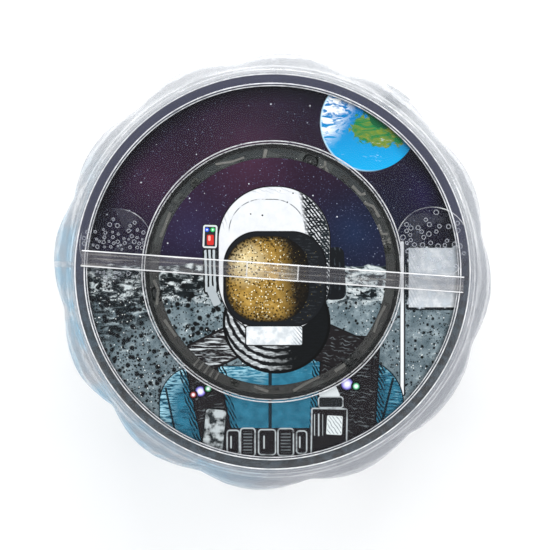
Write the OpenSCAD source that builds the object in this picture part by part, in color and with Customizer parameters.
// Inflatable solar lantern: a round body of clear film with twelve lobes, a printed
// card under its top sheet, a solar light module set into the card, a strap of two
// welded tails arched over the top, and an air valve in the wall.
// The origin is the centre of the foot on the floor. +Z runs up through the light
// module. The strap runs along X, turned a little clockwise.

/* [Body] */
// Height of the inflated body, from foot to top sheet
body_h = 108; // [85:1:140]
// Outer radius of the flat weld ring at each end
ring_r = 58.5; // [56:0.5:72]
// Width of the weld ring
ring_w = 3.3; // [2:0.1:5]
// How far the wall bulges past the weld ring
bulge = 7.5; // [5:0.5:12]
// Depth of the creases between the lobes
crease = 2.5; // [0.5:0.1:4]
// Share of that depth left at half height
crease_mid = 0.45; // [0.1:0.05:1]
// Number of lobes
lobes = 12; // [8:1:16]
// Turn of the first crease from +X, in degrees
crease_turn = 10; // [0:1:30]
// Height over which the wall curves in to each weld ring
shoulder_h = 15; // [10:1:18]
// Thickness of the clear film
film_t = 0.4; // [0.3:0.05:0.8]

/* [Printed parts] */
// Thickness of the printed card under the top sheet
card_t = 0.3; // [0.2:0.05:0.6]
// Radius of the round label on the module
label_r = 33.5; // [28:0.5:35]
// Thickness of the label
label_t = 0.25; // [0.1:0.05:0.5]

/* [Light module] */
// Outer radius of the module
module_r = 37.8; // [36:0.1:42]
// How far the module's cover stands above the top sheet
cover_rise = 0.8; // [0.4:0.1:2]
// Thickness of the cover's top plate
cover_t = 1.5; // [1:0.1:2.5]
// Thickness of the walls of the cover and the case
module_wall = 1.3; // [1:0.1:2]
// Depth of the module below the top sheet
module_depth = 22; // [21:0.5:30]
// Depth of the joint between cover and case below the top sheet
split_depth = 6; // [5:0.5:8]
// Width of the cover's flange under the card
flange_w = 3.2; // [2:0.1:5]
// Thickness of the cover's flange
flange_t = 1.2; // [0.8:0.1:2]
// Thickness of the circuit boards
board_t = 1.2; // [0.8:0.1:1.6]
// Number of board screws, and of case screws between them
screws = 3; // [3:1:4]
// Turn of the first board screw from +X, in degrees
screw_turn = 11; // [0:1:119]
// Number of lamps on the lamp board
lamps = 10; // [6:1:12]
// Radius of the circle of lamps
lamp_circle_r = 22; // [18:0.5:24]
// Radius of a lamp's dome
lamp_r = 2.5; // [1.5:0.1:3]
// Radius of the push button
button_r = 5; // [3:0.5:8]

/* [Strap] */
// Width of the strap
strap_w = 5; // [4:0.1:12]
// Thickness of the strap
strap_t = 0.8; // [0.5:0.1:1.2]
// Height of the strap's underside above the top sheet at the middle
strap_rise = 8; // [7:0.5:20]
// Length over which the two tails overlap
strap_overlap = 15; // [10:1:25]
// Length of the welded pad at each end of the strap
strap_pad = 9; // [6:0.5:12]
// Turn of the strap from +X, in degrees
strap_turn = -4; // [-15:1:15]
// Radius of the clear patch beside each pad
patch_r = 11; // [8:0.5:14]
// Thickness of the patches
patch_t = 0.3; // [0.2:0.05:0.6]
// Distance of the patch's centre from the body's axis, along the strap
patch_x = 46.5; // [44:0.5:50]
// Distance of the left patch's centre from the strap's middle line
patch_left_y = 4.5; // [0:0.5:14]
// Distance of the right patch's centre from the strap's middle line
patch_right_y = 11.5; // [0:0.5:14]

/* [Valve] */
// Depth of the valve's axis below the top sheet
valve_depth = 24; // [23:1:26]
// Radius of the valve's flange
valve_flange_r = 8; // [7:0.5:8.5]
// Outer radius of the valve's tube
valve_tube_r = 3.6; // [3.3:0.1:4.5]
// Radius of the valve's bore
valve_bore_r = 2.6; // [2:0.1:2.8]
// Length of the valve's tube inside the body
valve_tube_l = 10; // [8:1:14]
// Radius of the plug's head
plug_head_r = 4.4; // [4:0.1:6]
// Thickness of the plug's head
plug_head_t = 1; // [0.8:0.1:2]
// Length of the plug's stem
plug_stem_l = 7; // [5:0.5:9]

/* [Hidden] */
$fn = 96;

// Clearances
fit = 0.2;          // between a piece and the pocket it drops into
film_gap = 0.3;     // between the film and the flat valve behind it
slide_gap = 0.05;   // around a screw or the plug's stem
through = 1;        // how far a cutting tool runs past the face it cuts

// Layers at the top: sheet, weld flange of the side film, card, cover's flange
sheet_z = body_h - film_t;
card_top = sheet_z - film_t;
card_z = card_top - card_t;
card_r = ring_r - fit;
cover_top = body_h + cover_rise;
plate_z = cover_top - cover_t;

// Screws of the light module
screw_r = 0.9;
board_head_r = 1.5;
board_head_h = 0.9;
board_screw_l = 9;
case_head_r = 2;
case_head_h = 1.2;
case_screw_reach = 3;
boss_r = 2.2;

// Inside of the light module
case_z = body_h - module_depth;
split_z = body_h - split_depth;
case_in_r = module_r - module_wall;
board_r = case_in_r - fit;
board_top = plate_z - board_head_h - fit;
board_z = board_top - board_t;
screw_circle_r = board_r - board_head_r - fit;
case_floor_t = 1.6;
window_t = 1.4;
window_r = screw_circle_r - boss_r - fit;
window_lip = 2;
window_z = case_z + case_floor_t;
lamp_board_r = window_r;
lamp_rim = 0.4;
lamp_rim_h = 1;
lamp_body_h = 2;
lamp_board_z = window_z + window_t + lamp_rim_h + lamp_body_h + lamp_r + 2 * fit;
ledge_t = 1.5;
ledge_lip = 1.2;
battery_size = [50, 34, 5];
button_rise = 1;
button_flange = 1.5;
button_flange_t = 0.8;

// The wall of film: its outer profile from the foot to half height, as
// [radius, height, share of the crease's depth, inward normal]
lobe_steps = 6;
shoulder_steps = 5;
turn_steps = lobes * lobe_steps;
wall_r = ring_r + bulge;
function shoulder(a) = let (n = [-shoulder_h * sin(a), bulge * cos(a)])
    [ring_r + bulge * sin(a), film_t + shoulder_h * (1 - cos(a)), sin(a), n / norm(n)];
half_profile = concat(
    [[ring_r - ring_w, film_t, 0, [0, 1]]],
    [for (i = [0 : shoulder_steps]) shoulder(90 * i / shoulder_steps)]);
middle = [wall_r, body_h / 2, crease_mid, [-1, 0]];
function mirrored(p) = [p[0], body_h - p[1], p[2], [p[3][0], -p[3][1]]];
function backwards(v) = [for (i = [len(v) - 1 : -1 : 0]) v[i]];
outer_profile = concat(half_profile, [middle], backwards([for (p = half_profile) mirrored(p)]));
inner_profile = [for (p = outer_profile)
    [p[0] + film_t * p[3][0], p[1] + film_t * p[3][1], p[2]]];
film_loop = concat(outer_profile, backwards(inner_profile));
// 1 at a crease, 0 at the crest of a lobe
function scallop(a) = 1 - abs(sin(lobes / 2 * (a - crease_turn)));
function film_point(p, a) = let (r = p[0] - crease * p[2] * scallop(a))
    [r * cos(a), r * sin(a), p[1]];

// The valve sits behind the crest of a lobe. Its flat flange meets the round
// wall at its rim first.
valve_turn = crease_turn + 1.5 * 360 / lobes;
valve_z = body_h - valve_depth;
valve_flange_t = 0.8;
valve_rim_turn = asin(valve_flange_r / wall_r);
valve_seat_r = (wall_r - film_t - crease * scallop(valve_turn + valve_rim_turn))
    * cos(valve_rim_turn) - film_gap;
// Level of the plug head's seat on the valve's axis, just outside the film
plug_z = wall_r - valve_seat_r + slide_gap;

// The strap's tails: one welded on the other in the middle, a pad at each end
strap_end = ring_r - 2;
strap_steps = 20;
rim_clear = 9.7;    // how far past the cover's rim a tail comes down to the sheet
ramp_end = max(strap_end - strap_pad, module_r + rim_clear);
pad_z = body_h + patch_t;
// Height of a tail's underside at distance s from the middle, when it rises by rise
function arch(s, rise) =
    let (u = (s - strap_overlap / 2) / (ramp_end - strap_overlap / 2))
    pad_z + (rise - patch_t) * pow(cos(90 * min(1, max(0, u))), 2);

// Set places in a circle, the first one at the given turn
module around(count, turn) {
    for (i = [0 : count - 1]) rotate(turn + 360 * i / count) children();
}

module at_board_screws() around(screws, screw_turn) translate([screw_circle_r, 0, 0]) children();
module at_case_screws()
    around(screws, screw_turn + 180 / screws) translate([screw_circle_r, 0, 0]) children();

// A cylinder from z0 up to z1
module post(r, z0, z1) translate([0, 0, z0]) cylinder(r = r, h = z1 - z0);

// A ring from z0 up to z1
module ring(r_in, r_out, z0, z1) difference() {
    post(r_out, z0, z1);
    post(r_in, z0 - through, z1 + through);
}

// Places its children on the valve's axis, with +Z pointing out through the wall
module on_valve_axis() rotate(valve_turn) translate([valve_seat_r, 0, valve_z])
    rotate([0, 90, 0]) children();

module side_film() {
    n = len(film_loop);
    points = [for (i = [0 : turn_steps - 1], p = film_loop)
        film_point(p, crease_turn + 360 * i / turn_steps)];
    faces = [for (i = [0 : turn_steps - 1], j = [0 : n - 1], half = [0, 1])
        let (a = i * n + j, b = i * n + (j + 1) % n,
             c = ((i + 1) % turn_steps) * n + (j + 1) % n,
             d = ((i + 1) % turn_steps) * n + j)
        half == 0 ? [a, b, c] : [a, c, d]];
    color([0.86, 0.9, 0.94, 0.4]) difference() {
        polyhedron(points = points, faces = faces);
        on_valve_axis() post(valve_tube_r + film_gap, -through, 2 * bulge, $fn = 12);
    }
}

module bottom_sheet() color([0.86, 0.9, 0.94, 0.4]) post(ring_r, 0, film_t);

module top_sheet() color([0.86, 0.9, 0.94, 0.4])
    ring(module_r + fit, ring_r, sheet_z, body_h);

module printed_card() color([0.2, 0.17, 0.3])
    ring(module_r + fit, card_r, card_z, card_top);

module module_cover() color([0.8, 0.84, 0.86, 0.5]) {
    difference() {
        union() {
            post(module_r, split_z, cover_top);
            post(module_r + flange_w, card_z - flange_t, card_z);
        }
        post(case_in_r, split_z - through, plate_z);
    }
    at_case_screws() difference() {
        intersection() {
            post(boss_r, split_z, plate_z + fit);
            translate([-screw_circle_r, 0, 0]) post(case_in_r + fit, split_z, plate_z + fit);
        }
        post(screw_r + slide_gap, split_z - through, split_z + case_screw_reach + fit);
    }
}

module centre_label() color([0.24, 0.42, 0.5]) post(label_r, cover_top, cover_top + label_t);

module solar_board() color([0.16, 0.15, 0.14]) difference() {
    post(board_r, board_z, board_top);
    at_board_screws() post(screw_r + fit, board_z - through, board_top + through);
    at_case_screws() post(boss_r + fit, board_z - through, board_top + through);
}

module board_screws() color([0.75, 0.75, 0.74]) at_board_screws() {
    post(board_head_r, board_top, board_top + board_head_h);
    post(screw_r, board_top - board_screw_l, board_top);
}

module module_case() color([0.12, 0.12, 0.12]) difference() {
    union() {
        ring(case_in_r, module_r, case_z, split_z);
        ring(window_r - window_lip, module_r, case_z, window_z);
        ring(lamp_board_r - ledge_lip, case_in_r + fit, lamp_board_z - ledge_t, lamp_board_z);
        intersection() {
            at_board_screws() post(boss_r, case_z, board_z);
            post(board_r, case_z, board_z);
        }
        intersection() {
            at_case_screws() post(boss_r, case_z, split_z);
            post(case_in_r + fit, case_z, split_z);
        }
    }
    at_board_screws() post(screw_r + slide_gap, board_top - board_screw_l - fit, board_z + through);
    at_case_screws() {
        post(screw_r + slide_gap, case_z - through, split_z + through);
        post(case_head_r + fit, case_z - through, case_z + case_head_h);
    }
}

module case_screws() color([0.75, 0.75, 0.74]) at_case_screws() {
    post(case_head_r, case_z, case_z + case_head_h);
    post(screw_r, case_z + case_head_h, split_z + case_screw_reach);
}

module battery() color([0.3, 0.45, 0.75])
    translate([-battery_size[0] / 2, -battery_size[1] / 2, lamp_board_z + board_t])
        cube(battery_size);

module lamp_board() color([0.93, 0.93, 0.9])
    post(lamp_board_r, lamp_board_z, lamp_board_z + board_t);

module lamps() color([1, 0.97, 0.85]) around(lamps, 0) translate([lamp_circle_r, 0, 0]) {
    body_z = lamp_board_z - lamp_rim_h - lamp_body_h;
    post(lamp_r + lamp_rim, lamp_board_z - lamp_rim_h, lamp_board_z);
    post(lamp_r, body_z, lamp_board_z - lamp_rim_h);
    intersection() {
        translate([0, 0, body_z]) sphere(r = lamp_r);
        post(lamp_r, body_z - lamp_r, body_z);
    }
}

module lamp_window() color([0.94, 0.96, 0.97, 0.5])
    ring(button_r + fit, window_r, window_z, window_z + window_t);

module push_button() color([0.75, 0.78, 0.8]) {
    post(button_r, case_z - button_rise, window_z + window_t);
    post(button_r + button_flange, window_z + window_t, window_z + window_t + button_flange_t);
    post(button_r / 3, window_z + window_t + button_flange_t, lamp_board_z);
}

module patch(x, y) color([0.86, 0.9, 0.94, 0.4]) intersection() {
    rotate(strap_turn) translate([x, y, 0])
        post(patch_r, body_h, body_h + patch_t);
    ring(module_r + fit, ring_r, body_h, body_h + patch_t);
}
module patch_left() patch(-patch_x, patch_left_y);
module patch_right() patch(patch_x, patch_right_y);

// One tail of the strap, from past the middle out to its pad
module tail(rise) {
    start = -strap_overlap / 2;
    stations = concat([start], [for (i = [0 : strap_steps])
        -start + (ramp_end + start) * i / strap_steps], [strap_end]);
    under = [for (s = stations) [s, arch(s, rise)]];
    color([0.88, 0.92, 0.94, 0.6]) translate([0, strap_w / 2, 0]) rotate([90, 0, 0])
        linear_extrude(strap_w)
            polygon(concat(under, backwards([for (p = under) p + [0, strap_t]])));
}
module strap_left() rotate(strap_turn + 180) tail(strap_rise + strap_t);
module strap_right() rotate(strap_turn) tail(strap_rise);

module valve_body() color([0.88, 0.92, 0.94, 0.6]) on_valve_axis() difference() {
    union() {
        post(valve_flange_r, -valve_flange_t, 0);
        post(valve_tube_r, -valve_tube_l, plug_z);
    }
    post(valve_bore_r, -valve_tube_l - through, plug_z + through);
}

module valve_plug() color([0.88, 0.92, 0.94, 0.8]) on_valve_axis() {
    post(plug_head_r, plug_z, plug_z + plug_head_t);
    post(valve_bore_r - slide_gap, plug_z - plug_stem_l, plug_z);
}

side_film();
bottom_sheet();
top_sheet();
printed_card();
module_cover();
centre_label();
solar_board();
board_screws();
module_case();
case_screws();
battery();
lamp_board();
lamps();
lamp_window();
push_button();
patch_left();
patch_right();
strap_left();
strap_right();
valve_body();
valve_plug();
